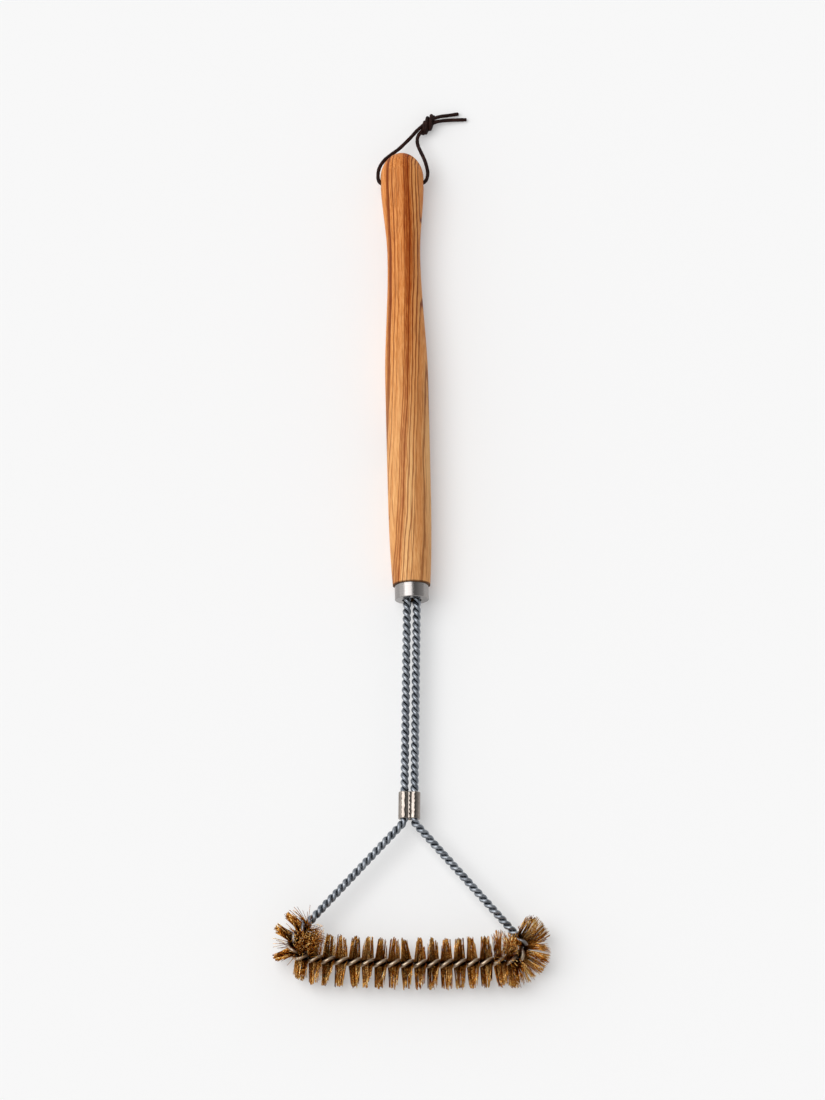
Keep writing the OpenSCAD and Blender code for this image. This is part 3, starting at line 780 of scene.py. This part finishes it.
# %% Satin steel
steel, tree, shader, in_mm = new_finish("stainless_steel_turned_satin", on_handle=True)
off_axis = add(tree, "VectorMath", {0: in_mm, 1: (1.0, 0.0, 1.0)}, operation="MULTIPLY")
from_axis = add(tree, "VectorMath", {0: off_axis[0]}, operation="LENGTH")["Value"]
along_axis = add(tree, "SeparateXYZ", {0: in_mm})["Y"]
ring_at = add(tree, "Math", {0: along_axis, 1: from_axis}, operation="ADD")
tool_lines = add(tree, "TexNoise", {"W": ring_at[0], "Scale": 1 / 0.25, "Detail": 2.0},
                 noise_dimensions="1D")["Fac"]
shade = add(tree, "ValToRGB", {0: tool_lines}, stops=[(0.3, "#8e8987"), (0.7, "#a6a2a0")])
relief = add(tree, "Bump", {"Height": tool_lines, "Strength": 0.08, "Distance": 0.1 * MM})
feed(shader, {"Base Color": shade["Color"], "Normal": relief[0], "Metallic": 1.0, "Roughness": 0.26})
print("satin steel:", len(tree.nodes), "nodes")

# %% [markdown]
# ## Galvanised wire
# The wires are drawn steel, dipped in zinc. Zinc dulls to a blue-grey with soft cloudy patches and fine
# specks. A single grey metal would look like plastic here, because most of what the eye reads is the dark
# groove between the wires. So the attribute towards_pair paints shade into the groove as a darker colour,
# and near the bristles the zinc is rubbed to a warmer tone.

# %% Galvanised wire
zinc, tree, shader, in_mm = new_finish("steel_wire_galvanised")
clouds = add(tree, "TexNoise", {"Vector": in_mm, "Scale": 1 / 3.5, "Detail": 4.0, "Roughness": 0.6})["Fac"]
specks = add(tree, "TexNoise", {"Vector": in_mm, "Scale": 1 / 0.35, "Detail": 2.0})["Fac"]
shade = add(tree, "ValToRGB", {0: clouds}, stops=[
    (0.3, "#747a81"), (0.7, "#a6abb0"), (0.5, "#8d9299")])["Color"]
along_brush = add(tree, "SeparateXYZ", {0: in_mm})["Y"]
near_bristles = add(tree, "MapRange", {"Value": along_brush, "From Min": y_bar + 16, "From Max": y_bar + 5})
towards_pair = add(tree, "Attribute", attribute_name="towards_pair")["Fac"]
# Painted shade: the colour darkens towards the side where each wire faces its partner.
groove = add(tree, "MapRange", {"Value": towards_pair, "From Min": -0.1, "From Max": 0.6, "To Max": 0.9})
for mask, colour in ((near_bristles[0], "#b3a28c"), (groove[0], "#17181b")):
    shade = add(tree, "MixRGB", {"Fac": mask, "Color1": shade, "Color2": linear(colour)})[0]
rough = add(tree, "MapRange", {"Value": clouds, "To Min": 0.32, "To Max": 0.48})
relief = add(tree, "Bump", {"Height": specks, "Strength": 0.12, "Distance": 0.1 * MM})
feed(shader, {"Base Color": shade, "Roughness": rough[0], "Normal": relief[0], "Metallic": 1.0})
print("galvanised wire:", len(tree.nodes), "nodes")

# %% [markdown]
# ## Nickel plate
# The sleeve is bright nickel plate over steel, smooth from the bath, a little warm and nearly a mirror. A
# perfect mirror would look computed, so finger marks a few millimetres wide change its tone and gloss, and
# painted shade darkens the creases beside the web.

# %% Bright nickel
nickel, tree, shader, in_mm = new_finish("nickel_plate_bright")
smudge = add(tree, "TexNoise", {"Vector": in_mm, "Scale": 1 / 5, "Detail": 3.0})["Fac"]
shade = add(tree, "ValToRGB", {0: smudge}, stops=[(0.3, "#847b74"), (0.7, "#a0978f")])
crease = add(tree, "Attribute", attribute_name="crease")["Fac"]
# Painted shade: the colour darkens along the creases beside the web.
crease_shade = add(tree, "MixRGB", {"Fac": crease, "Color1": shade["Color"], "Color2": linear("#2b2420")})
rough = add(tree, "MapRange", {"Value": smudge, "To Min": 0.1, "To Max": 0.2})
feed(shader, {"Base Color": crease_shade[0], "Roughness": rough[0], "Metallic": 1.0})
print("bright nickel:", len(tree.nodes), "nodes")

# %% [markdown]
# ## Brass filament
# The filaments are hard-drawn brass wire, slightly dull. One brass colour would melt them together. What
# parts them for the eye is that each has its own tone, from the attribute on its mesh, and painted
# highlights, spots of brighter colour about every millimetre. The roots are painted darker, as painted shade
# deep in the tufts. The tint at grazing angles is brass too, which keeps the dark places warm.

# %% Brass filament
brass, tree, shader, in_mm = new_finish("brass_filament_drawn")
tone = add(tree, "Attribute", attribute_name="tone")["Fac"]
# Painted highlights: a noise brightens the colour in spots about every millimetre.
glint_spots = add(tree, "TexNoise", {"Vector": in_mm, "Scale": 1 / 0.9, "Detail": 2.0, "Roughness": 0.6})["Fac"]
painted_glints = add(tree, "MapRange", {"Value": glint_spots, "From Min": 0.3, "From Max": 0.7,
                                "To Min": -0.42, "To Max": 0.45})
varied = add(tree, "Math", {0: painted_glints[0], 1: tone}, operation="ADD")
shade = add(tree, "ValToRGB", {0: varied[0]}, stops=[
    (0.0, "#401700"), (1.0, "#ffe8b0"), (0.38, "#a95c0c"), (0.72, "#f4be62")])
from_root = add(tree, "Attribute", attribute_name="from_root")["Fac"]
# Painted shade: the colour darkens towards the roots, deep in the tufts.
root_shade_ramp = add(tree, "ValToRGB", {0: from_root}, stops=[(0.05, "#4c2a0e"), (0.58, "#ffffff")])
root_shade = add(tree, "MixRGB", {"Fac": 1.0, "Color1": shade["Color"], "Color2": root_shade_ramp["Color"]},
           blend_type="MULTIPLY")
feed(shader, {"Base Color": root_shade[0], "Metallic": 1.0, "Roughness": 0.27, "Specular Tint": linear("#d8953c")})
print("brass filament:", len(tree.nodes), "nodes")

# %% [markdown]
# ## Leather and resin
# The lace is cut from dark leather and lightly waxed, so it has a fine pebbled grain and almost no gloss.
# Voronoi cells give the pebbles. Real ones are about 0.2 mm, and 0.5 mm shows from here. The bond in the
# socket is cast resin, dull and speckled, coloured nearly black as painted shade in the ferrule's mouth.

# %% Leather
leather, tree, shader, in_mm = new_finish("leather_waxed_dark")
pebbles = add(tree, "TexVoronoi", {"Vector": in_mm, "Scale": 1 / 0.5})["Distance"]
patches = add(tree, "TexNoise", {"Vector": in_mm, "Scale": 1 / 3, "Detail": 3.0})["Fac"]
shade = add(tree, "ValToRGB", {0: patches}, stops=[(0.3, "#150705"), (0.7, "#2f1812")])
relief = add(tree, "Bump", {"Height": pebbles, "Strength": 0.4, "Distance": 0.2 * MM})
feed(shader, {"Base Color": shade["Color"], "Normal": relief[0], "Roughness": 0.6,
              "Specular IOR Level": 0.12})
print("leather:", len(tree.nodes), "nodes")

# %% Resin
resin, tree, shader, in_mm = new_finish("cast_resin_painted_shade")
specks = add(tree, "TexNoise", {"Vector": in_mm, "Scale": 1 / 1.5, "Detail": 3.0})["Fac"]
# Painted shade: the resin is coloured nearly black so that the ferrule's mouth looks like a deep shaded hole.
shade = add(tree, "ValToRGB", {0: specks}, stops=[(0.3, "#191410"), (0.7, "#2a231c")])
feed(shader, {"Base Color": shade["Color"], "Roughness": 0.6})
print("resin:", len(tree.nodes), "nodes")

# %% [markdown]
# ## Finishes on the pieces
# Handle, ferrule and bond are the frame's own solids, and only their finish changes. Materials could be
# chosen face by face, but each piece here is of one stuff, so each gets a single finish.

# %% Finishes on the pieces


def put_on(finish, *pieces):
    """Makes the finish the only one on each piece."""
    for piece in pieces:
        piece.data.materials.clear()
        piece.data.materials.append(finish)


put_on(wood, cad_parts["handle"])
put_on(steel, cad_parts["ferrule"])
put_on(resin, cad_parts["resin_plug"])
put_on(nickel, sleeve)
put_on(zinc, *wires)
put_on(brass, *tufts)
put_on(leather, knot, *laces)
print("finishes: wood, steel, resin, nickel, zinc, brass and leather on their pieces")

# %% [markdown]
# ## Floor
# The brush lies on a wide sheet of pale paper that runs out of the picture. A small sheet would show its edge
# in low views. The shadow in the photograph is light, and more lamps would fade it but change the metals too.
# So a share of even white is mixed into the paper only for rays that look at it: straight from the camera,
# off a mirror or through glass.

# %% Floor
floor_half = 20.0
floor_drop = 0.2 * MM
shadow_lift = 0.28
floor = bpy.data.objects.new("floor", bpy.data.meshes.new("floor"))
bpy.context.scene.collection.objects.link(floor)
floor_corners = floor_half * np.array([[-1, -1, 0], [1, -1, 0], [1, 1, 0], [-1, 1, 0]]) - [0, 0, floor_drop]
floor.data.from_pydata(floor_corners, [], [(0, 1, 2, 3)])

paper = bpy.data.materials.new("pale_paper")
paper.use_nodes = True
tree = paper.node_tree
shader = tree.nodes["Principled BSDF"]
feed(shader, {"Base Color": linear("#f3f3f3"), "Roughness": 0.9, "Specular IOR Level": 0.0})
ray = add(tree, "LightPath")
seen = add(tree, "Math", {0: ray["Is Camera Ray"], 1: ray["Is Glossy Ray"]}, operation="MAXIMUM")
seen = add(tree, "Math", {0: seen[0], 1: ray["Is Transmission Ray"]}, operation="MAXIMUM")
lift = add(tree, "Math", {0: seen[0], 1: shadow_lift}, operation="MULTIPLY")
white = add(tree, "Emission", {"Color": linear("#f7f7f7"), "Strength": 1.0})
mixed = add(tree, "MixShader", {0: lift[0], 1: shader.outputs[0], 2: white[0]})
feed(tree.nodes["Material Output"], {"Surface": mixed[0]})
put_on(paper, floor)
print("floor:", 2 * floor_half, "m across")

# %% [markdown]
# ## Light
# One wide soft lamp stands above and to the left, as the ferrule's bright band and the soft shadow on its
# right show. An area lamp would fade along the floor, so it is a sun lamp with a wide disc. Metals show the
# room around them, so the room is drawn too: a bright left wall, a darker ceiling that gives the metals their
# middle tones, a greyer right wall, and lit walls at both ends.

# %% Lamp
lamp_way = Vector((0.45, -0.1, -1))
scene = bpy.context.scene
scene.view_settings.view_transform = "Standard"
lamp = bpy.data.objects.new("soft_lamp", bpy.data.lights.new("soft_lamp", "SUN"))
scene.collection.objects.link(lamp)
lamp.rotation_euler = lamp_way.to_track_quat("-Z", "Y").to_euler()
lamp.data.energy = 1.95
lamp.data.angle = math.radians(54)
print(f"lamp: a disc of {math.degrees(lamp.data.angle):.0f} degrees")

# %% Room
room = bpy.data.worlds.new("room")
scene.world = room
room.use_nodes = True
tree = room.node_tree
towards = add(tree, "SeparateXYZ", {0: add(tree, "TexCoord")["Generated"]})
left_to_right = add(tree, "MapRange", {"Value": towards["X"], "From Min": -1.0, "From Max": 1.0})
walls = add(tree, "ValToRGB", {0: left_to_right[0]}, stops=[
    (0.0, "#ffffff"), (1.0, "#b0b0b0"), (0.15, "#e0e0e0"), (0.3, "#7a7a7a"), (0.5, "#434343"),
    (0.7, "#5f5f5f"), (0.85, "#8a8a8a")])
endwise = add(tree, "Math", {0: towards["Y"]}, operation="ABSOLUTE")
end_walls = add(tree, "MapRange", {"Value": endwise[0], "From Min": 0.35, "From Max": 0.75})
whole = add(tree, "MixRGB", {"Fac": end_walls[0], "Color1": walls["Color"], "Color2": linear("#bebebe")})
feed(tree.nodes["Background"], {"Color": whole[0], "Strength": 1.3})
print("room:", len(tree.nodes), "nodes")
